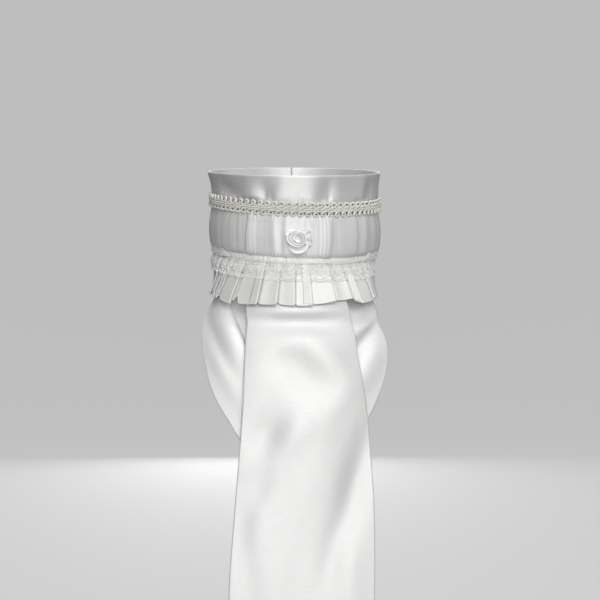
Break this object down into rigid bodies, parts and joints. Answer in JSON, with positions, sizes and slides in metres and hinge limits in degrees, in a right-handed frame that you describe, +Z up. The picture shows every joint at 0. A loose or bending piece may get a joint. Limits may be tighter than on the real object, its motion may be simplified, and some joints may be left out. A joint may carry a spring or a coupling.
{
  "type": "ready-tied satin stock tie",
  "caption": "Ready-tied satin ascot stock: flared neck band with gimp braid, gathered wrap, ribbon rose and lace-edged pleated frill over a wide front fall and crossed tails.",
  "frame": {"origin": "centre of the neck opening at half the collar's height, where the collar sits round a neck", "axes": "+Z up the neck, -Y the front with the rose and falls, +X to the right as seen from the front"},
  "size_m": [0.1256, 0.1454, 0.3254],
  "materials": {
    "satin": "smooth white satin",
    "braid": "matt ivory gimp cord",
    "lace": "matt white thread",
    "rose_ribbon": "cool white satin ribbon"
  },
  "bodies": {
    "root": {"neck_band": "satin", "pleated_wrap": "satin", "braid_trim": "braid", "heading_tape": "satin", "frill_satin": "satin", "frill_lace": "lace", "back_fastening": "satin", "rose_petals": "rose_ribbon", "rose_bud": "rose_ribbon", "front_fall": "satin", "left_tail": "satin", "right_tail": "satin"}
  },
  "joints": []
}
